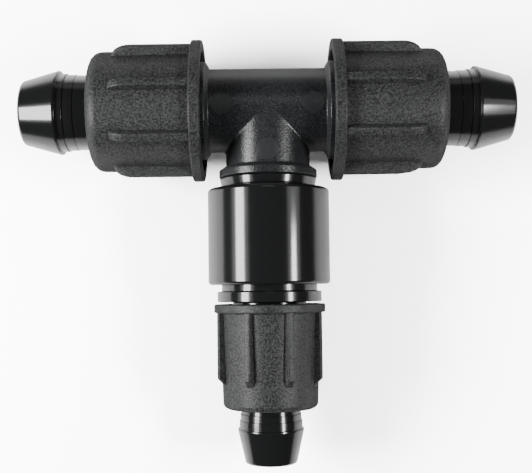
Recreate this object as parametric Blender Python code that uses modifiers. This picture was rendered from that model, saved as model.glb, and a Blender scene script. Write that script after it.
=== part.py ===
"""Reducing tee for irrigation tubing, with a barbed insert and a screw lock nut on each of its three ends.

Metres, +Z up. The run lies along X and the branch points to -Y. The origin is below the middle of the part, on
the surface that it lies on.
"""

import math

import bmesh
import bpy
from mathutils import Matrix, Vector

MM = 0.001
SEGMENTS = 40  # sides of every round shape, a multiple of the eight ribs
FIT_GAP = 0.3 * MM  # between a piece and the next one
OVERSHOOT = 1.0 * MM  # how far a cutter runs past what it cuts

# Every distance along an arm is measured from the tee's centre, where the run and branch axes cross.
TUBE_RADIUS = 10.9 * MM
TUBE_BORE = 8.0 * MM
COLLAR_START = 15.15 * MM
COLLAR_CHAMFER = 0.8 * MM
COLLAR_END = 17.8 * MM
COLLAR_RADIUS = 12.75 * MM
COLLAR_ROOT = 11.5 * MM
SPIGOT_RADIUS = 10.2 * MM
SPIGOT_END = 27.3 * MM

# The run's inserts
RUN_INSERT = {
    "bore": 7.0 * MM,
    "start": COLLAR_END + FIT_GAP,
    "flange_radius": 12.5 * MM,
    "flange_end": 20.0 * MM,
    "relief_radius": 12.0 * MM,
    "thread_start": 21.2 * MM,
    "thread_end": 38.8 * MM,
    "thread_radius": 13.0 * MM,
    "tube_stop": 39.8 * MM,
    "stop_radius": 12.0 * MM,
    "neck_radius": 9.75 * MM,
    "first_ring": 49.4 * MM,
    "first_ring_radius": 9.9 * MM,
    "second_ring": 52.0 * MM,
    "second_ring_radius": 10.2 * MM,
    "lip": 53.9 * MM,
    "lip_radius": 10.95 * MM,
    "lip_width": 0.4 * MM,
    "tip": 63.7 * MM,
    "tip_radius": 8.3 * MM,
    "tip_chamfer": 0.7 * MM,
}

# The sleeve that steps the branch down
SLEEVE_NECK_RADIUS = 12.6 * MM
SLEEVE_NECK_WAIST = 12.0 * MM
SLEEVE_START = 20.8 * MM
SLEEVE_END = 45.6 * MM
SLEEVE_RADIUS = 15.8 * MM
SLEEVE_ROUND = 0.9 * MM
PLUG_RADIUS = 12.4 * MM
PLUG_START = 36.1 * MM

BRANCH_INSERT = {
    "bore": 5.3 * MM,
    "start": PLUG_START,
    "flange_radius": 13.5 * MM,
    "flange_start": 47.3 * MM,
    "flange_end": 50.0 * MM,
    "relief_radius": 9.5 * MM,
    "thread_start": 51.8 * MM,
    "thread_end": 69.8 * MM,
    "thread_radius": 9.9 * MM,
    "tube_stop": 70.8 * MM,
    "stop_radius": 9.3 * MM,
    "neck_radius": 7.6 * MM,
    "first_ring": 78.6 * MM,
    "first_ring_radius": 7.85 * MM,
    "second_ring": 80.3 * MM,
    "second_ring_radius": 8.1 * MM,
    "lip": 82.4 * MM,
    "lip_radius": 8.5 * MM,
    "lip_width": 0.4 * MM,
    "tip": 91.3 * MM,
    "tip_radius": 6.6 * MM,
    "tip_chamfer": 0.5 * MM,
}

# A nut is given at home, as far in as it goes.
RUN_NUT = {
    "mouth": 16.7 * MM,
    "mouth_radius": 15.5 * MM,
    "mouth_depth": 2.0 * MM,
    "flange_radius": 18.45 * MM,
    "flange_width": 2.75 * MM,
    "shell_bore": 14.4 * MM,
    "barrel_root": 15.95 * MM,
    "barrel_end": 15.6 * MM,
    "nose_round": 2.9 * MM,
    "nose": 45.5 * MM,
    "nose_hole": 12.15 * MM,
    "nose_cone": 3.2 * MM,
    "nose_land": 2.3 * MM,
    "rib_radius": 17.7 * MM,
    "rib_width": 2.1 * MM,
    "rib_full_end": 34.8 * MM,
    "rib_end": 39.6 * MM,
    "band_start": 21.6 * MM,
    "band_length": 12.0 * MM,
    "band_bore": 13.3 * MM,
    "band_radius": 14.1 * MM,
}

BRANCH_NUT = {
    "mouth": 50.6 * MM,
    "mouth_radius": 12.1 * MM,
    "mouth_depth": 1.6 * MM,
    "flange_radius": 14.4 * MM,
    "flange_width": 2.2 * MM,
    "shell_bore": 11.2 * MM,
    "barrel_root": 13.1 * MM,
    "barrel_end": 12.2 * MM,
    "nose_round": 1.4 * MM,
    "nose": 77.2 * MM,
    "nose_hole": 9.05 * MM,
    "nose_cone": 2.4 * MM,
    "nose_land": 2.0 * MM,
    "rib_radius": 14.2 * MM,
    "rib_width": 1.6 * MM,
    "rib_full_end": 69.3 * MM,
    "rib_end": 71.3 * MM,
    "band_start": 54.2 * MM,
    "band_length": 11.0 * MM,
    "band_bore": 10.2 * MM,
    "band_radius": 10.9 * MM,
}

RIB_COUNT = 8
RIB_FIRST_ANGLE = math.radians(22.5)
# how far each nut is turned at home
NUT_TURNS = {"left": math.radians(-9), "right": math.radians(6), "branch": math.radians(1.3)}
RIB_ARC_STEPS = 4
NOSE_ARC_STEPS = 4
ROUND_STEPS = 3

# The part lies on its two large flanges, with its box centred over the origin.
AXIS_HEIGHT = RUN_NUT["flange_radius"]
RUN_Y = (BRANCH_INSERT["tip"] - RUN_NUT["flange_radius"]) / 2
TEE_CENTRE = Vector((0, RUN_Y, AXIS_HEIGHT))

# Each arm's own +Z points out along the arm from the tee's centre.
ARMS = {
    "left": Matrix.Translation(TEE_CENTRE) @ Matrix.Rotation(-math.pi / 2, 4, "Y"),
    "right": Matrix.Translation(TEE_CENTRE) @ Matrix.Rotation(math.pi / 2, 4, "Y"),
    "branch": Matrix.Translation(TEE_CENTRE) @ Matrix.Rotation(math.pi / 2, 4, "X"),
}

MATERIALS = {
    "satin_black": ((0.020, 0.021, 0.022, 1), 0.48),
    "gloss_black": ((0.007, 0.008, 0.009, 1), 0.16),
    "matt_black": ((0.034, 0.035, 0.036, 1), 0.62),
}


def clear_scene():
    for thing in list(bpy.data.objects):
        bpy.data.objects.remove(thing, do_unlink=True)


def make_collection(name):
    collection = bpy.data.collections.new(name)
    bpy.context.scene.collection.children.link(collection)
    return collection


def make_material(name):
    colour, roughness = MATERIALS[name]
    material = bpy.data.materials.get(name) or bpy.data.materials.new(name)
    material.use_nodes = True
    shader = material.node_tree.nodes["Principled BSDF"]
    shader.inputs["Base Color"].default_value = colour
    shader.inputs["Roughness"].default_value = roughness
    shader.inputs["Metallic"].default_value = 0
    return material


def arc(centre_along, centre_radius, radius, start, end, steps):
    """Points (distance along the arm, radius) on a circular arc, angles from the arm's direction."""
    points = []
    for step in range(steps + 1):
        angle = start + (end - start) * step / steps
        along = centre_along + radius * math.cos(angle)
        out = centre_radius + radius * math.sin(angle)
        points.append((along, out))
    return points


def turned(name, profile, placement, collection):
    """A solid of revolution. The closed profile lists (along, radius) down the outside and back up the inside."""
    mesh = bpy.data.meshes.new(name)
    shape = bmesh.new()
    corners = [shape.verts.new((radius, 0, along)) for along, radius in profile]
    for first, second in zip(corners, corners[1:] + corners[:1]):
        shape.edges.new((first, second))
    shape.to_mesh(mesh)
    shape.free()
    piece = bpy.data.objects.new(name, mesh)
    collection.objects.link(piece)
    piece.matrix_world = placement
    screw = piece.modifiers.new("turn", "SCREW")
    screw.axis = "Z"
    screw.steps = SEGMENTS
    screw.render_steps = SEGMENTS
    screw.use_merge_vertices = True
    screw.merge_threshold = 0.00001
    return piece


def applied(piece):
    """The piece with its modifiers worked into its mesh, and its origin kept."""
    graph = bpy.context.evaluated_depsgraph_get()
    mesh = bpy.data.meshes.new_from_object(piece.evaluated_get(graph))
    piece.modifiers.clear()
    piece.data = mesh
    return piece


def boolean(piece, operation, other):
    other.hide_render = True
    other.display_type = "WIRE"
    step = piece.modifiers.new(operation.lower(), "BOOLEAN")
    step.operation = operation
    step.object = other
    step.solver = "EXACT"


def finish(piece, material):
    """Works the modifiers in, and gives the piece its own finish."""
    mesh = applied(piece).data
    mesh.materials.clear()
    mesh.materials.append(make_material(material))
    mesh.shade_smooth()
    mesh.set_sharp_from_angle(angle=math.radians(30))
    return piece


def arm_profile():
    """One arm of the tee from its end inwards: spigot, collar and tube."""
    return [
        (SPIGOT_END, SPIGOT_RADIUS),
        (COLLAR_END, SPIGOT_RADIUS),
        (COLLAR_END, COLLAR_RADIUS),
        (COLLAR_START + COLLAR_CHAMFER, COLLAR_RADIUS),
        (COLLAR_START, COLLAR_ROOT),
        (COLLAR_START, TUBE_RADIUS),
    ]


def build_tee_body(parts, cutters):
    """The run is one bar through both ends, the branch is joined to it, and both bores are cut last."""
    half = arm_profile()
    other_half = [(-along, radius) for along, radius in reversed(half)]
    ends = [(-SPIGOT_END, TUBE_BORE), (SPIGOT_END, TUBE_BORE)]
    body = turned("tee_body", half + other_half + ends, ARMS["right"], parts)
    solid_end = [(0.0, TUBE_RADIUS), (0.0, 0.0), (SPIGOT_END, 0.0)]
    branch = turned("branch_bar", half + solid_end, ARMS["branch"], cutters)
    boolean(body, "UNION", branch)
    for name, arm, start in (("run_bore", "right", -SPIGOT_END), ("branch_bore", "branch", 0.0)):
        far = SPIGOT_END + OVERSHOOT
        near = start - OVERSHOOT if start else start
        profile = [(far, 0.0), (far, TUBE_BORE), (near, TUBE_BORE), (near, 0.0)]
        boolean(body, "DIFFERENCE", turned(name, profile, ARMS[arm], cutters))
    return finish(body, "satin_black")


def barb_profile(insert):
    """From the tube stop out to the tip: ringed neck, sharp lip, cone and blunt end."""
    return [
        (insert["tip"], insert["bore"]),
        (insert["tip"], insert["tip_radius"] - insert["tip_chamfer"]),
        (insert["tip"] - insert["tip_chamfer"], insert["tip_radius"]),
        (insert["lip"] + insert["lip_width"], insert["lip_radius"]),
        (insert["lip"], insert["lip_radius"]),
        (insert["lip"], insert["second_ring_radius"]),
        (insert["second_ring"], insert["second_ring_radius"]),
        (insert["second_ring"], insert["first_ring_radius"]),
        (insert["first_ring"], insert["first_ring_radius"]),
        (insert["first_ring"], insert["neck_radius"]),
        (insert["tube_stop"], insert["neck_radius"]),
        (insert["tube_stop"], insert["stop_radius"]),
        (insert["thread_end"], insert["thread_radius"]),
        (insert["thread_start"], insert["thread_radius"]),
        (insert["thread_start"], insert["relief_radius"]),
        (insert["flange_end"], insert["relief_radius"]),
        (insert["flange_end"], insert["flange_radius"]),
    ]


def build_run_insert(side, parts):
    """A socket at its inner end takes the tee's spigot."""
    insert = RUN_INSERT
    socket_radius = SPIGOT_RADIUS + FIT_GAP
    socket_end = SPIGOT_END + FIT_GAP
    funnel = TUBE_BORE - insert["bore"]
    profile = barb_profile(insert) + [
        (insert["start"], insert["flange_radius"]),
        (insert["start"], socket_radius),
        (socket_end, socket_radius),
        (socket_end, TUBE_BORE),
        (socket_end + funnel, insert["bore"]),
    ]
    piece = turned(side + "_barb_insert", profile, ARMS[side], parts)
    return finish(piece, "gloss_black")


def build_reducing_sleeve(parts):
    """A socket at each end, and a straight passage between them."""
    spigot_socket = SPIGOT_RADIUS + FIT_GAP
    plug_socket = PLUG_RADIUS + FIT_GAP
    low = SLEEVE_START + SLEEVE_ROUND
    high = SLEEVE_END - SLEEVE_ROUND
    edge_radius = SLEEVE_RADIUS - SLEEVE_ROUND
    outer = arc(high, edge_radius, SLEEVE_ROUND, 0, math.pi / 2, ROUND_STEPS)
    outer += arc(low, edge_radius, SLEEVE_ROUND, math.pi / 2, math.pi, ROUND_STEPS)
    profile = [(SLEEVE_END, plug_socket)] + outer + [
        (SLEEVE_START, SLEEVE_NECK_WAIST),
        (COLLAR_END + FIT_GAP, SLEEVE_NECK_RADIUS),
        (COLLAR_END + FIT_GAP, spigot_socket),
        (SPIGOT_END + FIT_GAP, spigot_socket),
        (SPIGOT_END + FIT_GAP, TUBE_BORE),
        (PLUG_START - FIT_GAP, TUBE_BORE),
        (PLUG_START - FIT_GAP, plug_socket),
    ]
    piece = turned("reducing_sleeve", profile, ARMS["branch"], parts)
    return finish(piece, "gloss_black")


def build_branch_insert(parts):
    """A plain plug goes into the sleeve, up to the flange, and funnels the flow down to the small bore."""
    insert = BRANCH_INSERT
    funnel = TUBE_BORE - insert["bore"]
    profile = barb_profile(insert) + [
        (insert["flange_start"], insert["flange_radius"]),
        (insert["flange_start"], PLUG_RADIUS),
        (insert["start"], PLUG_RADIUS),
        (insert["start"], TUBE_BORE),
        (insert["start"] + funnel, insert["bore"]),
    ]
    piece = turned("branch_barb_insert", profile, ARMS["branch"], parts)
    return finish(piece, "gloss_black")


def rib_outline(nut):
    """A rib from the side, (along, radius), with a rounded ramp down to the barrel at its outer end."""
    root = (nut["shell_bore"] + nut["barrel_end"]) / 2
    flange_back = nut["mouth"] + nut["flange_width"]
    ramp_length = nut["rib_end"] - nut["rib_full_end"]
    ramp_height = nut["rib_radius"] - root
    points = [(flange_back - OVERSHOOT, root), (flange_back - OVERSHOOT, nut["rib_radius"])]
    for step in range(RIB_ARC_STEPS + 1):
        angle = math.pi / 2 * step / RIB_ARC_STEPS
        along = nut["rib_full_end"] + ramp_length * math.sin(angle)
        points.append((along, root + ramp_height * math.cos(angle)))
    return points


def rib_mesh(nut):
    """One rib on the arm's +X side, as the mesh of an extruded flat outline."""
    curve = bpy.data.curves.new("rib_outline", "CURVE")
    curve.dimensions = "2D"
    curve.fill_mode = "BOTH"
    curve.extrude = nut["rib_width"] / 2
    outline = rib_outline(nut)
    spline = curve.splines.new("POLY")
    spline.points.add(len(outline) - 1)
    for point, (along, radius) in zip(spline.points, outline):
        point.co = (radius, along, 0, 1)
    spline.use_cyclic_u = True
    guide = bpy.data.objects.new("rib_outline", curve)
    bpy.context.scene.collection.objects.link(guide)
    graph = bpy.context.evaluated_depsgraph_get()
    mesh = bpy.data.meshes.new_from_object(guide.evaluated_get(graph))
    bpy.data.objects.remove(guide, do_unlink=True)
    mesh.transform(Matrix.Rotation(math.pi / 2, 4, "X"))
    return mesh


def ribs_object(name, nut, placement, cutters):
    """All the ribs of a nut, as separate closed bodies in one cutter object."""
    one_rib = rib_mesh(nut)
    shape = bmesh.new()
    for number in range(RIB_COUNT):
        turn = Matrix.Rotation(RIB_FIRST_ANGLE + number * math.tau / RIB_COUNT, 4, "Z")
        copy = one_rib.copy()
        copy.transform(turn)
        shape.from_mesh(copy)
    bmesh.ops.remove_doubles(shape, verts=shape.verts, dist=0.00001)
    bmesh.ops.recalc_face_normals(shape, faces=shape.faces)
    mesh = bpy.data.meshes.new(name)
    shape.to_mesh(mesh)
    shape.free()
    ribs = bpy.data.objects.new(name, mesh)
    cutters.objects.link(ribs)
    ribs.matrix_world = placement
    return ribs


def build_lock_nut(arm, nut, parts, cutters):
    """The shell of a nut. Its origin lies on the arm's axis, about which it turns."""
    barrel_turn = nut["nose"] - nut["nose_round"]
    flange_back = nut["mouth"] + nut["flange_width"]
    nose_radius = nut["barrel_end"] - nut["nose_round"]
    cone_start = nut["nose"] - nut["nose_land"] - nut["nose_cone"]
    outer = arc(barrel_turn, nose_radius, nut["nose_round"], 0, math.pi / 2, NOSE_ARC_STEPS)
    profile = [(nut["nose"], nut["nose_hole"])] + outer + [
        (flange_back, nut["barrel_root"]),
        (flange_back, nut["flange_radius"]),
        (nut["mouth"], nut["flange_radius"]),
        (nut["mouth"], nut["mouth_radius"]),
        (nut["mouth"] + nut["mouth_depth"], nut["mouth_radius"]),
        (flange_back + OVERSHOOT, nut["shell_bore"]),
        (cone_start, nut["shell_bore"]),
        (nut["nose"] - nut["nose_land"], nut["nose_hole"]),
    ]
    placement = ARMS[arm] @ Matrix.Rotation(NUT_TURNS[arm], 4, "Z")
    piece = turned(arm + "_lock_nut", profile, placement, parts)
    boolean(piece, "UNION", ribs_object(arm + "_ribs", nut, placement, cutters))
    return finish(piece, "matt_black")


def build_nut_thread(arm, nut, parts):
    """The threaded inside of a nut, as a plain ring on the pitch line."""
    band_end = nut["band_start"] + nut["band_length"]
    profile = [
        (band_end, nut["band_bore"]),
        (band_end, nut["band_radius"]),
        (nut["band_start"], nut["band_radius"]),
        (nut["band_start"], nut["band_bore"]),
    ]
    piece = turned(arm + "_nut_thread", profile, ARMS[arm], parts)
    return finish(piece, "matt_black")


def main():
    clear_scene()
    parts = make_collection("reducing_tee")
    cutters = make_collection("cutters")
    build_tee_body(parts, cutters)
    for side in ("left", "right"):
        build_run_insert(side, parts)
    build_reducing_sleeve(parts)
    build_branch_insert(parts)
    for arm, nut in (("left", RUN_NUT), ("right", RUN_NUT), ("branch", BRANCH_NUT)):
        build_lock_nut(arm, nut, parts, cutters)
        build_nut_thread(arm, nut, parts)


main()
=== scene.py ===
import math

import bmesh
import bpy
from mathutils import Matrix, Vector


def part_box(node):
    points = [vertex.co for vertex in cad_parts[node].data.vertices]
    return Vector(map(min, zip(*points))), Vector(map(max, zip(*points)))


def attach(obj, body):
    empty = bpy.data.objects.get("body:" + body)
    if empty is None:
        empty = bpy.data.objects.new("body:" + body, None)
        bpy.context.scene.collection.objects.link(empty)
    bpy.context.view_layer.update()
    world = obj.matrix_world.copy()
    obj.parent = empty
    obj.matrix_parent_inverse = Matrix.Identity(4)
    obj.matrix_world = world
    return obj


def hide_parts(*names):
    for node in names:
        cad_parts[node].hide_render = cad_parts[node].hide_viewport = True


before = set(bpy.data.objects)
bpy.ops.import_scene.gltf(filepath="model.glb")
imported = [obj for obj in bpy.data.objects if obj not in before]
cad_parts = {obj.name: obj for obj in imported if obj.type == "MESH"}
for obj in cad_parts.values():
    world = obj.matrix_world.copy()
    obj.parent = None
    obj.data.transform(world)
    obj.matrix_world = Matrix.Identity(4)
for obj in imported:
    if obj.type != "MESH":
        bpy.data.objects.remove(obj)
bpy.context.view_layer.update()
mm = 0.001

# Every piece is modelled standing on the world's Z axis, then laid along its arm, Z pointing outwards.
teeLow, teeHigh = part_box("tee_body")
nutLow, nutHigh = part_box("left_lock_nut")
runHeight = (nutLow.z + nutHigh.z) / 2
teeCentre = Vector(((teeLow.x + teeHigh.x) / 2, (nutLow.y + nutHigh.y) / 2, runHeight))
arms = {
    "left": Matrix.Translation(teeCentre) @ Matrix.Rotation(-math.pi / 2, 4, "Y"),
    "right": Matrix.Translation(teeCentre) @ Matrix.Rotation(math.pi / 2, 4, "Y"),
    "branch": Matrix.Translation(teeCentre) @ Matrix.Rotation(math.pi / 2, 4, "X"),
}

# the viewpoint
camera = {
    "offset": (-0.9, -46.5, 234.2),  # mm from the tee's centre
    "tilt": 3.275,  # degrees from straight down, towards the run
    "roll": -0.7,
    "lens": 60.9,
    "sensor": 36,
    "clipNear": 0.01,
    "clipFar": 20,
}


def placeCamera(settings):
    bpy.ops.object.camera_add(location=teeCentre + Vector(settings["offset"]) * mm)
    eye = bpy.context.active_object
    eye.name = "photoCamera"
    eye.rotation_euler = (math.radians(settings["tilt"]), 0, math.radians(settings["roll"]))
    eye.data.lens = settings["lens"]
    eye.data.sensor_width = settings["sensor"]
    eye.data.clip_start = settings["clipNear"]
    eye.data.clip_end = settings["clipFar"]
    bpy.context.scene.camera = eye


# helpers for modelling
weldWithin = 0.001  # mm
pickWithin = 0.01  # mm
turnSides = 128


def pickOnly(*pieces):
    if bpy.context.mode != "OBJECT":
        bpy.ops.object.mode_set(mode="OBJECT")
    bpy.ops.object.select_all(action="DESELECT")
    for piece in pieces:
        piece.select_set(True)
        bpy.context.view_layer.objects.active = piece


def roundOff(corners, steps=5, guard=0.1):
    # corners are (along, radius, rounding) in mm; each becomes an arc, with a point close by on either side
    outline = []
    for number, (along, radius, rounding) in enumerate(corners):
        here = Vector((along, radius))
        before = Vector(corners[number - 1][:2]) - here
        after = Vector(corners[(number + 1) % len(corners)][:2]) - here
        if rounding == 0:
            outline.append(here)
            continue
        half = before.angle(after) / 2
        cut = rounding / math.tan(half)
        middle = here + (before.normalized() + after.normalized()).normalized() * rounding / math.sin(half)
        first = here + before.normalized() * cut - middle
        last = here + after.normalized() * cut - middle
        if before.length > cut + 4 * guard:
            outline.append(middle + first + before.normalized() * guard)
        for step in range(steps + 1):
            outline.append(middle + first.slerp(last, step / steps) * rounding)
        if after.length > cut + 4 * guard:
            outline.append(middle + last + after.normalized() * guard)
    return outline


def turnPiece(name, corners, turned=0):
    # one vertex is drawn out along the outline, and the outline is spun round the axis
    outline = roundOff(corners)
    pickOnly()
    bpy.ops.mesh.primitive_plane_add(size=mm, location=(outline[0].y * mm, 0, outline[0].x * mm))
    piece = bpy.context.active_object
    piece.name = name
    bpy.ops.object.mode_set(mode="EDIT")
    bpy.ops.mesh.select_mode(type="VERT")
    bpy.ops.mesh.select_all(action="SELECT")
    bpy.ops.mesh.merge(type="CENTER")
    for here, there in zip(outline, outline[1:] + outline[:1]):
        move = ((there.y - here.y) * mm, 0, (there.x - here.x) * mm)
        bpy.ops.mesh.extrude_region_move(TRANSFORM_OT_translate={"value": move})
    bpy.ops.mesh.select_all(action="SELECT")
    bpy.ops.mesh.spin(steps=turnSides, angle=math.tau, center=(0, 0, 0), axis=(0, 0, 1))
    tidySurface()
    bpy.ops.object.transform_apply(location=True, rotation=True, scale=True)
    piece.rotation_euler.z = turned
    bpy.ops.object.transform_apply(location=True, rotation=True, scale=True)
    return piece


def weld():
    bpy.ops.mesh.select_mode(type="VERT")
    bpy.ops.mesh.select_all(action="SELECT")
    bpy.ops.mesh.remove_doubles(threshold=weldWithin * mm)


def tidySurface():
    weld()
    bpy.ops.mesh.delete_loose()
    bpy.ops.mesh.select_all(action="SELECT")
    bpy.ops.mesh.normals_make_consistent(inside=False)
    bpy.ops.object.mode_set(mode="OBJECT")


def lay(piece, arm):
    pickOnly(piece)
    piece.matrix_world = arms[arm] @ piece.matrix_world
    bpy.ops.object.transform_apply(location=True, rotation=True, scale=True)


def combine(piece, operation, other):
    pickOnly(piece)
    step = piece.modifiers.new("combine", "BOOLEAN")
    step.operation = operation
    step.solver = "EXACT"
    step.object = other
    bpy.ops.object.modifier_apply(modifier=step.name)
    bpy.data.objects.remove(other, do_unlink=True)
    bpy.ops.object.mode_set(mode="EDIT")
    tidySurface()


def pickEdges(wanted):
    # in edit mode: picks the edges for which wanted(edge) holds
    bpy.ops.mesh.select_mode(type="EDGE")
    bpy.ops.mesh.select_all(action="DESELECT")
    shape = bmesh.from_edit_mesh(bpy.context.active_object.data)
    for edge in [edge for edge in shape.edges if wanted(edge)]:
        edge.select_set(True)
    bmesh.update_edit_mesh(bpy.context.active_object.data)


def finishPiece(piece, finish, body, slot, *nodes, sharpAbove=35):
    pickOnly(piece)
    piece.data.materials.clear()
    piece.data.materials.append(finish)
    bpy.ops.object.shade_smooth_by_angle(angle=math.radians(sharpAbove))
    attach(piece, body)
    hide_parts(*nodes)
    print(piece.name, len(piece.data.polygons), "faces, rides on", body)


def threadRidge(name, thread, sides=96):
    # a left-hand ridge: its section is a plane beside the axis, narrowed at the crest and screwed round it
    root, crest = thread["root"], thread["crest"]
    pickOnly()
    middle = ((root + crest) / 2 * mm, 0, thread["start"] * mm)
    bpy.ops.mesh.primitive_plane_add(size=1, location=middle, rotation=(math.pi / 2, 0, 0))
    piece = bpy.context.active_object
    piece.name = name
    piece.scale = (abs(crest - root) * mm, thread["rootWidth"] * mm, 1)
    bpy.ops.object.transform_apply(location=True, rotation=True, scale=True)
    bpy.ops.object.mode_set(mode="EDIT")
    pickEdges(lambda edge: all(abs(corner.co.x - crest * mm) < pickWithin * mm for corner in edge.verts))
    bpy.ops.transform.resize(value=(1, 1, thread["crestWidth"] / thread["rootWidth"]),
                             center_override=(crest * mm, 0, thread["start"] * mm))
    bpy.ops.object.mode_set(mode="OBJECT")
    winding = piece.modifiers.new("winding", "SCREW")
    winding.axis = "Z"
    winding.steps = sides
    winding.render_steps = sides
    winding.iterations = thread["turns"]
    winding.screw_offset = -thread["pitch"] * mm
    winding.use_merge_vertices = False
    bpy.ops.object.modifier_apply(modifier=winding.name)
    bpy.ops.object.mode_set(mode="EDIT")
    weld()
    bpy.ops.mesh.select_all(action="DESELECT")
    bpy.ops.mesh.select_non_manifold()
    bpy.ops.mesh.fill_holes(sides=0)
    tidySurface()
    return piece


# helpers for materials
rimLevel = 0.5
rimSoftness = 0.35


class Wire:
    # a socket that takes part in sums, so that shader maths reads as arithmetic
    def __init__(self, paint, socket):
        self.paint = paint
        self.socket = socket

    def sum(self, operation, first, second):
        return self.paint.node("ShaderNodeMath", {"operation": operation}, {0: first, 1: second})

    def __add__(self, other):
        return self.sum("ADD", self, other)

    def __radd__(self, other):
        return self.sum("ADD", other, self)

    def __rsub__(self, other):
        return self.sum("SUBTRACT", other, self)

    def __mul__(self, other):
        return self.sum("MULTIPLY", self, other)

    def __rmul__(self, other):
        return self.sum("MULTIPLY", other, self)

    def above(self, level, softness):
        # 0 well below the level, 1 well above it
        return self.paint.node("ShaderNodeMapRange", {"interpolation_type": "SMOOTHSTEP"},
                               {"Value": self, "From Min": level - softness, "From Max": level + softness})


class Paint:
    def __init__(self, name):
        self.material = bpy.data.materials.new(name)
        self.material.use_nodes = True
        self.tree = self.material.node_tree
        self.shader = self.tree.nodes["Principled BSDF"]

    def node(self, kind, settings, values, output=0):
        made = self.tree.nodes.new(kind)
        for setting, value in settings.items():
            setattr(made, setting, value)
        for name, value in values.items():
            self.feed(made.inputs[name], value)
        return Wire(self, made.outputs[output])

    def feed(self, socket, value):
        if isinstance(value, Wire):
            self.tree.links.new(value.socket, socket)
        else:
            socket.default_value = value

    def fill(self, values):
        for name, value in values.items():
            self.feed(self.shader.inputs[name], value)
        return self.material

    def place(self):
        return self.node("ShaderNodeTexCoord", {}, {}, "Object")

    def grain(self, size, detail=2, roughness=0.5):
        # noise whose lumps are about this size, in mm
        values = {"Vector": self.place(), "Scale": 1 / (size * mm), "Detail": detail, "Roughness": roughness}
        return self.node("ShaderNodeTexNoise", {}, values)

    def blend(self, amount, first, second):
        # sockets 6, 7 and output 2 are the mix node's colours
        values = {"Factor": amount, 6: (*first, 1), 7: (*second, 1)}
        return self.node("ShaderNodeMix", {"data_type": "RGBA"}, values, 2)

    def relief(self, height, depth):
        return self.node("ShaderNodeBump", {}, {"Height": height, "Distance": depth * mm, "Strength": 1})

    def edgeOn(self):
        # 0 where the surface is seen straight, 1 where it turns away, to keep rims dark; output 1 is Facing
        return self.node("ShaderNodeLayerWeight", {}, {"Blend": 0.5}, 1).above(rimLevel, rimSoftness)


satinFinish = {
    "dark": (0.0008, 0.0009, 0.0010),
    "pale": (0.0045, 0.0047, 0.0049),
    "roughness": 0.25,
    "rimRoughness": 0.6,
    "specular": 0.06,
    "grainSize": 0.30,
    "grainDetail": 1,
    "grainRoughness": 0.6,
    "grainDepth": 0.065,
    "paleLevel": 0.55,
    "paleSoftness": 0.2,
    "discSoftness": 0.12,  # mm
    "discRoughness": 0.08,
    "discGrainLoss": 0.4,
    "discPale": 0.32,
}


def makeSatin(settings, discs, discRadius):
    # the ejector pins' discs are duller than the grained plastic round them
    paint = Paint("satinBlackPlastic")
    fine = paint.grain(settings["grainSize"], settings["grainDetail"], settings["grainRoughness"])
    flat = paint.node("ShaderNodeVectorMath", {"operation": "MULTIPLY"}, {0: paint.place(), 1: (1, 1, 0)})
    onDisc = 0
    for disc in discs:
        ends = {0: flat, 1: (disc.x, disc.y, 0)}
        away = paint.node("ShaderNodeVectorMath", {"operation": "DISTANCE"}, ends, 1)
        onDisc = onDisc + (1 - away.above(discRadius * mm, settings["discSoftness"] * mm))
    grainy = fine.above(settings["paleLevel"], settings["paleSoftness"])
    grainy = grainy * (1 - settings["discGrainLoss"] * onDisc) + settings["discPale"] * onDisc
    return paint.fill({
        "Base Color": paint.blend(grainy, settings["dark"], settings["pale"]),
        "Roughness": settings["roughness"] + settings["discRoughness"] * onDisc
        + settings["rimRoughness"] * paint.edgeOn(),
        "Specular IOR Level": settings["specular"],
        "Normal": paint.relief(fine, settings["grainDepth"]),
    })


glossFinish = {
    "dark": (0.0012, 0.00125, 0.0013),
    "pale": (0.006, 0.0065, 0.007),
    "roughness": 0.10,
    "rimRoughness": 0.3,
    "specular": 0.08,
    "waveSize": 9,
    "waveDetail": 1,
    "waveDepth": 0.02,
    "waveRoughness": 0.05,
    "speckSize": 0.5,
    "speckDetail": 4,
    "speckGrain": 0.7,
    "speckLevel": 0.72,
    "speckSoftness": 0.04,
    "speckRoughness": 0.18,
}


def makeGloss(settings):
    paint = Paint("glossBlackPlastic")
    wave = paint.grain(settings["waveSize"], settings["waveDetail"])
    speck = paint.grain(settings["speckSize"], settings["speckDetail"], settings["speckGrain"])
    speck = speck.above(settings["speckLevel"], settings["speckSoftness"])
    return paint.fill({
        "Base Color": paint.blend(speck, settings["dark"], settings["pale"]),
        "Roughness": settings["roughness"] + settings["speckRoughness"] * speck
        + settings["waveRoughness"] * wave + settings["rimRoughness"] * paint.edgeOn(),
        "Specular IOR Level": settings["specular"],
        "Normal": paint.relief(wave, settings["waveDepth"]),
    })


mattFinish = {
    "dark": (0.0010, 0.0011, 0.0011),
    "pale": (0.0074, 0.0076, 0.0076),
    "roughness": 0.38,
    "rimRoughness": 0.6,
    "specular": 0.04,
    "grainSize": 0.42,
    "grainDetail": 3,
    "grainRoughness": 0.65,
    "grainDepth": 0.09,
    "paleLevel": 0.5,
    "paleSoftness": 0.12,
    "cloudSize": 4,
    "cloudDetail": 3,
    "cloudGrain": 0.6,
    "cloudRoughness": 0.12,
}


def makeMatt(settings):
    paint = Paint("mattCharcoalPlastic")
    fine = paint.grain(settings["grainSize"], settings["grainDetail"], settings["grainRoughness"])
    cloud = paint.grain(settings["cloudSize"], settings["cloudDetail"], settings["cloudGrain"])
    grainy = fine.above(settings["paleLevel"], settings["paleSoftness"])
    return paint.fill({
        "Base Color": paint.blend(grainy, settings["dark"], settings["pale"]),
        "Roughness": settings["roughness"] + settings["cloudRoughness"] * cloud
        + settings["rimRoughness"] * paint.edgeOn(),
        "Specular IOR Level": settings["specular"],
        "Normal": paint.relief(fine, settings["grainDepth"]),
    })


glossBlack = makeGloss(glossFinish)
mattCharcoal = makeMatt(mattFinish)
print("finishes mixed")

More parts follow.
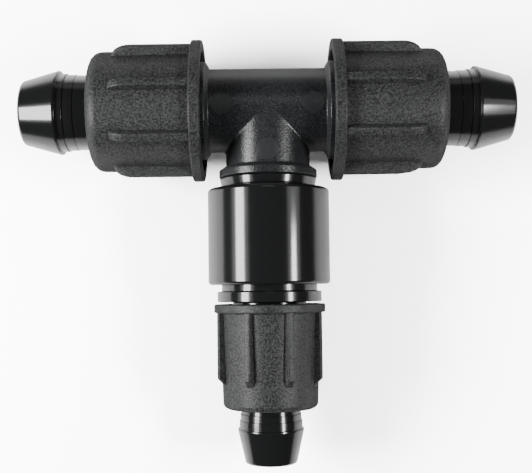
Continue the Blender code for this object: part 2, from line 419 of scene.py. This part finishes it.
# tee body
tee = {
    "tube": 10.9,
    "bore": 8.0,
    "collarStart": 15.15,
    "collarRoot": 11.5,
    "collarChamfer": 0.8,
    "collar": 12.75,
    "collarEnd": 17.8,
    "spigot": 10.2,
    "spigotEnd": 27.3,
    "creaseFillet": 0.9,
    "creaseSegments": 5,
    "creaseAbove": 8,  # degrees of fold under which the crease stays sharp
    "pinRadius": 2.75,  # ejector pin marks, one on each arm
    "pinPlace": 11.6,
    "pinHeight": 0.1,
    "pinReach": 4,
    "pinDepth": 3,
    "pinMiddle": 0.5,  # mm below the tube's top
    "pinTurn": 0.02,  # keeps the pin's sides off the edges of what trims it
}
creaseNear = {"plane": 0.02, "radius": 0.05}  # mm

outwards = {"left": Vector((-1, 0, 0)), "right": Vector((1, 0, 0)), "branch": Vector((0, -1, 0))}
pinPlaces = {arm: teeCentre + outwards[arm] * tee["pinPlace"] * mm for arm in arms}
satinBlack = makeSatin(satinFinish, pinPlaces.values(), tee["pinRadius"])

halfSide = math.pi / turnSides  # turned by this, a cutter's sides never meet the edges of what it cuts


def teeArm(settings):
    return [
        (settings["spigotEnd"], settings["spigot"], 0.4),
        (settings["collarEnd"], settings["spigot"], 0.2),
        (settings["collarEnd"], settings["collar"], 0.2),
        (settings["collarStart"] + settings["collarChamfer"], settings["collar"], 0.25),
        (settings["collarStart"], settings["collarRoot"], 0.12),
        (settings["collarStart"], settings["tube"], 0.3),
    ]


def pinMark(settings, arm):
    # a disc a hair proud of the tube: an upright pin, trimmed by a slightly fatter tube
    pickOnly()
    middle = (0, 0, (settings["tube"] - settings["pinMiddle"]) * mm)
    bpy.ops.mesh.primitive_cylinder_add(vertices=64, radius=settings["pinRadius"] * mm,
                                        depth=settings["pinDepth"] * mm, location=middle,
                                        rotation=(0, 0, settings["pinTurn"]))
    pin = bpy.context.active_object
    pin.matrix_world = Matrix.Translation(pinPlaces[arm]) @ pin.matrix_world
    bpy.ops.object.transform_apply(location=True, rotation=True, scale=True)
    top = settings["tube"] + settings["pinHeight"]
    far = settings["pinPlace"] + settings["pinReach"]
    near = settings["pinPlace"] - settings["pinReach"]
    corners = [(far, 0, 0), (far, top, 0), (near, top, 0), (near, 0, 0)]
    limit = turnPiece("pinLimit", corners, turned=halfSide)
    lay(limit, arm)
    combine(pin, "INTERSECT", limit)
    return pin


def passages(settings):
    # the run's bore and the branch's as one shape
    far = settings["spigotEnd"] + 1
    bore = settings["bore"]
    runCorners = [(far, 0, 0), (far, bore, 0), (-far, bore, 0), (-far, 0, 0)]
    through = turnPiece("runBore", runCorners, turned=halfSide)
    lay(through, "right")
    branchCorners = [(far, 0, 0), (far, bore, 0), (0, bore, 0), (0, 0, 0)]
    side = turnPiece("branchBore", branchCorners, turned=halfSide)
    lay(side, "branch")
    combine(through, "UNION", side)
    return through


def onCrease(point, settings):
    offset = point - teeCentre
    onPlane = abs(abs(offset.x) + offset.y) < creaseNear["plane"] * mm
    away = abs(math.hypot(offset.y, offset.z) - settings["tube"] * mm)
    return onPlane and away < creaseNear["radius"] * mm


def easeCrease(piece, settings):
    # where the branch leaves the run: a fillet of one radius, its width following how sharply the walls meet
    pickOnly(piece)
    bpy.ops.object.mode_set(mode="EDIT")
    shape = bmesh.from_edit_mesh(piece.data)
    share = shape.edges.layers.float.new("bevel_weight_edge")
    for edge in shape.edges:
        if all(onCrease(corner.co, settings) for corner in edge.verts):
            fold = edge.calc_face_angle(0)
            edge[share] = math.tan(fold / 2) if fold > math.radians(settings["creaseAbove"]) else 0
    bmesh.update_edit_mesh(piece.data)
    bpy.ops.object.mode_set(mode="OBJECT")
    fillet = piece.modifiers.new("creaseFillet", "BEVEL")
    fillet.limit_method = "WEIGHT"
    fillet.width = settings["creaseFillet"] * mm
    fillet.segments = settings["creaseSegments"]
    bpy.ops.object.modifier_apply(modifier=fillet.name)


def makeTee(settings):
    half = teeArm(settings)
    otherHalf = [(-along, radius, rounding) for along, radius, rounding in reversed(half)]
    ends = [(-settings["spigotEnd"], 0, 0), (settings["spigotEnd"], 0, 0)]
    piece = turnPiece("teeMoulding", half + otherHalf + ends)
    lay(piece, "right")
    root = [(0, settings["tube"], 0), (0, 0, 0), (settings["spigotEnd"], 0, 0)]
    branch = turnPiece("branchTube", half + root)
    lay(branch, "branch")
    combine(piece, "UNION", branch)
    for arm in arms:
        combine(piece, "UNION", pinMark(settings, arm))
    combine(piece, "DIFFERENCE", passages(settings))
    easeCrease(piece, settings)
    return piece


finishPiece(makeTee(tee), satinBlack, "fitting", "tee_satin", "tee_body")

# barbed inserts of the run
runInsert = {
    "start": 18.1,
    "socket": 10.5,
    "socketEnd": 27.6,
    "bore": 7.0,
    "boreEntry": 1,
    "reliefStep": 0.4,
    "flange": 12.5,
    "flangeEnd": 20.0,
    "relief": 12.0,
    "threadCore": 12.2,
    "threadStart": 21.2,
    "threadEnd": 38.8,
    "tubeStop": 39.8,
    "stopRadius": 12.0,
    "neck": 9.75,
    "rings": [(49.4, 9.9), (52.0, 10.2)],
    "lip": 53.9,
    "lipRadius": 10.95,
    "lipWidth": 0.4,
    "tip": 63.7,
    "tipRadius": 8.3,
    "tipRound": 1.1,
    "thread": {"root": 11.9, "crest": 13.9, "rootWidth": 1.75, "crestWidth": 0.8, "start": 37.9, "turns": 5,
               "pitch": 3.0},
}


def barbCorners(insert):
    # from the blunt tip over the lip and down the ringed neck to the thread
    corners = [
        (insert["tip"], insert["bore"], 0.4),
        (insert["tip"], insert["tipRadius"], insert["tipRound"]),
        (insert["lip"] + insert["lipWidth"], insert["lipRadius"], 0.1),
        (insert["lip"], insert["lipRadius"], 0.05),
    ]
    inner = insert["neck"]
    steps = []
    for place, radius in insert["rings"]:
        steps.append((place, inner, 0))
        steps.append((place, radius, 0.08))
        inner = radius
    corners.append((insert["lip"], inner, 0.15))
    corners += reversed(steps)
    corners += [
        (insert["tubeStop"], insert["neck"], 0.3),
        (insert["tubeStop"], insert["stopRadius"], 0.3),
        (insert["threadEnd"], insert["threadCore"], 0.1),
        (insert["threadStart"], insert["threadCore"], 0.1),
        (insert["threadStart"] - insert["reliefStep"], insert["relief"], 0.1),
        (insert["flangeEnd"], insert["relief"], 0.2),
        (insert["flangeEnd"], insert["flange"], 0.25),
    ]
    return corners


def makeRunInsert(side, insert):
    piece = turnPiece(side + "BarbMoulding", barbCorners(insert) + [
        (insert["start"], insert["flange"], 0.25),
        (insert["start"], insert["socket"], 0.2),
        (insert["socketEnd"], insert["socket"], 0.2),
        (insert["socketEnd"], tee["bore"], 0.1),
        (insert["socketEnd"] + insert["boreEntry"], insert["bore"], 0.3),
    ])
    combine(piece, "UNION", threadRidge("runThread", insert["thread"]))
    lay(piece, side)
    return piece


for side in ("left", "right"):
    finishPiece(makeRunInsert(side, runInsert), glossBlack, "fitting", "gloss_black", side + "_barb_insert")

# reducing sleeve
sleeve = {
    "neckStart": 18.1,
    "neck": 12.6,
    "waist": 12.0,
    "start": 20.8,
    "end": 45.6,
    "radius": 15.8,
    "round": 0.9,
    "spigotSocket": 10.5,
    "spigotSocketEnd": 27.6,
    "plugSocket": 12.7,
    "plugSocketStart": 35.8,
}


def makeSleeve(settings):
    piece = turnPiece("sleeveMoulding", [
        (settings["end"], settings["plugSocket"], 0.4),
        (settings["end"], settings["radius"], settings["round"]),
        (settings["start"], settings["radius"], settings["round"]),
        (settings["start"], settings["waist"], 0.3),
        (settings["neckStart"], settings["neck"], 0.2),
        (settings["neckStart"], settings["spigotSocket"], 0.2),
        (settings["spigotSocketEnd"], settings["spigotSocket"], 0.2),
        (settings["spigotSocketEnd"], tee["bore"], 0.2),
        (settings["plugSocketStart"], tee["bore"], 0.2),
        (settings["plugSocketStart"], settings["plugSocket"], 0.2),
    ])
    lay(piece, "branch")
    return piece


finishPiece(makeSleeve(sleeve), glossBlack, "fitting", "gloss_black", "reducing_sleeve")

# barbed insert of the branch
branchInsert = {
    "start": 36.1,
    "plug": 12.4,
    "bore": 5.3,
    "boreEntry": 2.7,
    "reliefStep": 0.4,
    "flangeStart": 47.3,
    "flange": 13.5,
    "flangeEnd": 50.0,
    "relief": 9.5,
    "threadCore": 9.2,
    "threadStart": 51.8,
    "threadEnd": 69.8,
    "tubeStop": 70.8,
    "stopRadius": 9.1,
    "neck": 7.6,
    "rings": [(78.6, 7.85), (80.3, 8.1)],
    "lip": 82.4,
    "lipRadius": 8.5,
    "lipWidth": 0.4,
    "tip": 91.3,
    "tipRadius": 6.6,
    "tipRound": 0.8,
    "thread": {"root": 8.9, "crest": 10.6, "rootWidth": 1.45, "crestWidth": 0.6, "start": 68.9, "turns": 6,
               "pitch": 2.4},
}


def makeBranchInsert(insert):
    piece = turnPiece("branchBarbMoulding", barbCorners(insert) + [
        (insert["flangeStart"], insert["flange"], 0.25),
        (insert["flangeStart"], insert["plug"], 0.2),
        (insert["start"], insert["plug"], 0.4),
        (insert["start"], tee["bore"], 0.3),
        (insert["start"] + insert["boreEntry"], insert["bore"], 0.5),
    ])
    combine(piece, "UNION", threadRidge("branchThread", insert["thread"]))
    lay(piece, "branch")
    return piece


finishPiece(makeBranchInsert(branchInsert), glossBlack, "fitting", "gloss_black", "branch_barb_insert")

# lock nuts
runNut = {
    "mouth": 16.7,
    "mouthRadius": 15.5,
    "mouthDepth": 2.0,
    "flange": 18.45,
    "flangeWidth": 2.75,
    "bore": 14.3,
    "barrelRoot": 15.95,
    "barrelEnd": 15.6,
    "noseRound": 2.9,
    "nose": 45.5,
    "noseHole": 12.15,
    "cone": 3.2,
    "land": 2.3,
    "rib": {"top": 18.0, "foot": 14.9, "sink": 15.2, "width": 2.1, "fullEnd": 34.8, "end": 39.6, "steps": 8,
            "edge": 0.3, "edgeSegments": 3, "draft": 1.25},
    "thread": {"root": 14.5, "crest": 12.5, "rootWidth": 1.75, "crestWidth": 0.8, "start": 33.4, "turns": 4,
               "pitch": 3.0},
}

branchNut = {
    "mouth": 50.6,
    "mouthRadius": 12.1,
    "mouthDepth": 1.6,
    "flange": 14.4,
    "flangeWidth": 2.2,
    "bore": 11.0,
    "barrelRoot": 13.0,
    "barrelEnd": 12.2,
    "noseRound": 1.4,
    "nose": 77.2,
    "noseHole": 9.05,
    "cone": 2.4,
    "land": 2.0,
    "rib": {"top": 14.2, "foot": 11.8, "sink": 12.1, "width": 1.6, "fullEnd": 69.3, "end": 71.3, "steps": 1,
            "edge": 0.22, "edgeSegments": 3, "draft": 1.3},
    "thread": {"root": 11.2, "crest": 9.5, "rootWidth": 1.45, "crestWidth": 0.6, "start": 65.3, "turns": 4,
               "pitch": 2.4},
}

ribCount = 8
ribOverlap = 1  # mm that a rib reaches into the flange
ribFoot = 0.05  # mm at the foot whose edges stay sharp
ribSharpAbove = 60  # degrees of fold above which a rib's edge is eased
mouthStep = 1  # mm from the flange's back to the full bore
nutTurns = {"left": -9, "right": 6, "branch": 1.3}  # degrees by which each nut is turned at home


def makeRibs(nut, turned):
    # one rib from a cube, its outer end drawn down to the barrel, its edges eased, then copied round the nut
    rib = nut["rib"]
    start = nut["mouth"] + nut["flangeWidth"] - ribOverlap
    pickOnly()
    bpy.ops.mesh.primitive_cube_add(size=mm, location=((rib["top"] + rib["foot"]) / 2 * mm, 0,
                                                       (start + rib["fullEnd"]) / 2 * mm))
    piece = bpy.context.active_object
    piece.scale = (rib["top"] - rib["foot"], rib["width"], rib["fullEnd"] - start)
    bpy.ops.object.transform_apply(location=True, rotation=True, scale=True)
    bpy.ops.object.mode_set(mode="EDIT")
    pickEdges(lambda edge: all(corner.co.x < (rib["foot"] + pickWithin) * mm for corner in edge.verts))
    bpy.ops.transform.resize(value=(1, rib["draft"], 1), center_override=(0, 0, 0))
    bpy.ops.mesh.select_mode(type="FACE")
    bpy.ops.mesh.select_all(action="DESELECT")
    shape = bmesh.from_edit_mesh(piece.data)
    for face in shape.faces:
        face.select_set(face.normal.z > 0.9)
    bmesh.update_edit_mesh(piece.data)
    height = rib["top"] - rib["foot"]
    length = rib["end"] - rib["fullEnd"]
    along = 0
    for step in range(1, rib["steps"] + 1):
        angle = math.pi / 2 * step / rib["steps"]
        lowered = rib["sink"] - rib["foot"] + (rib["top"] - rib["sink"]) * math.cos(angle)
        bpy.ops.mesh.extrude_region_move(
            TRANSFORM_OT_translate={"value": (0, 0, (length * math.sin(angle) - along) * mm)})
        bpy.ops.transform.resize(value=(lowered / height, 1, 1), center_override=(rib["foot"] * mm, 0, 0))
        along = length * math.sin(angle)
        height = lowered

    def onTop(edge):
        if any(corner.co.x < (rib["foot"] + ribFoot) * mm for corner in edge.verts):
            return False
        return edge.calc_face_angle(0) > math.radians(ribSharpAbove)

    pickEdges(onTop)
    bpy.ops.mesh.bevel(offset=rib["edge"] * mm, segments=rib["edgeSegments"], affect="EDGES")
    bpy.ops.mesh.select_all(action="SELECT")
    # with no window, a positive angle turns backwards
    bpy.ops.transform.rotate(value=-math.pi / ribCount - math.radians(turned), orient_axis="Z",
                             center_override=(0, 0, 0))
    for copy in range(ribCount - 1):
        bpy.ops.mesh.duplicate()
        bpy.ops.transform.rotate(value=math.tau / ribCount, orient_axis="Z", center_override=(0, 0, 0))
    tidySurface()
    return piece


def makeNut(arm, nut):
    flangeBack = nut["mouth"] + nut["flangeWidth"]
    piece = turnPiece(arm + "NutMoulding", [
        (nut["nose"], nut["noseHole"], 0.3),
        (nut["nose"], nut["barrelEnd"], nut["noseRound"]),
        (flangeBack, nut["barrelRoot"], 0.3),
        (flangeBack, nut["flange"], 0.4),
        (nut["mouth"], nut["flange"], 0.4),
        (nut["mouth"], nut["mouthRadius"], 0.3),
        (nut["mouth"] + nut["mouthDepth"], nut["mouthRadius"], 0.2),
        (flangeBack + mouthStep, nut["bore"], 0.2),
        (nut["nose"] - nut["land"] - nut["cone"], nut["bore"], 0.2),
        (nut["nose"] - nut["land"], nut["noseHole"], 0.3),
    ])
    combine(piece, "UNION", makeRibs(nut, nutTurns[arm]))
    combine(piece, "UNION", threadRidge("nutThread", nut["thread"]))
    lay(piece, arm)
    return piece


for arm, nut in (("left", runNut), ("right", runNut), ("branch", branchNut)):
    nodes = (arm + "_lock_nut", arm + "_nut_thread")
    finishPiece(makeNut(arm, nut), mattCharcoal, arm + "_nut", "nut_matt", *nodes)

# floor and light
studio = {
    "floor": (0.82, 0.82, 0.82),
    "floorRoughness": 0.9,
    "floorSize": 6,
    "floorDrop": 0.02,  # mm, so that nothing touches it
    "cloudSize": 60,
    "cloudShade": 0.99,
    "world": (0.9, 0.9, 0.9),
    "worldStrength": 0.5,
}

# place and aim in mm; size is width along Y and height, both mm; power in watts
softBoxes = {
    "leftBox": {"place": (-300, -5, 235), "aim": (0, 0, 20), "size": (190, 105), "power": 15},
    "leftGlow": {"place": (-304, -5, 235), "aim": (0, 0, 20), "size": (270, 230), "power": 2.2},
    "rightBox": {"place": (280, -48, 290), "aim": (0, -48, 20), "size": (150, 55), "power": 8.5},
    "rightGlow": {"place": (284, 0, 292), "aim": (0, 0, 20), "size": (240, 170), "power": 1.2},
    "backBox": {"place": (0, 420, 110), "aim": (0, 36, 20), "size": (500, 130), "power": 0.5},
    "topBox": {"place": (0, 175, 420), "aim": (0, 36, 20), "size": (150, 24), "power": 0.5},
}


def makeFloor(settings):
    paint = Paint("paleFloor")
    cloud = paint.grain(settings["cloudSize"])
    shaded = [value * settings["cloudShade"] for value in settings["floor"]]
    finish = paint.fill({
        "Base Color": paint.blend(cloud, settings["floor"], shaded),
        "Roughness": settings["floorRoughness"],
    })
    pickOnly()
    bpy.ops.mesh.primitive_grid_add(x_subdivisions=4, y_subdivisions=4, size=settings["floorSize"],
                                    location=(0, 0, -settings["floorDrop"] * mm))
    floor = bpy.context.active_object
    floor.name = "paleFloor"
    bpy.ops.object.transform_apply(location=True, rotation=True, scale=True)
    floor.data.materials.append(finish)


def hangLights(boxes):
    for name, box in boxes.items():
        place = Vector(box["place"]) * mm
        aim = Vector(box["aim"]) * mm
        bpy.ops.object.light_add(type="AREA", location=place)
        light = bpy.context.active_object
        light.name = name
        light.rotation_euler = (aim - place).to_track_quat("-Z", "Y").to_euler()
        light.data.shape = "RECTANGLE"
        light.data.size = box["size"][0] * mm
        light.data.size_y = box["size"][1] * mm
        light.data.energy = box["power"]


def lightWorld(settings):
    world = bpy.data.worlds.new("studioAir")
    world.use_nodes = True
    air = world.node_tree.nodes["Background"]
    air.inputs["Color"].default_value = (*settings["world"], 1)
    air.inputs["Strength"].default_value = settings["worldStrength"]
    bpy.context.scene.world = world


makeFloor(studio)
hangLights(softBoxes)
lightWorld(studio)
placeCamera(camera)
print("floor, lights and camera placed")
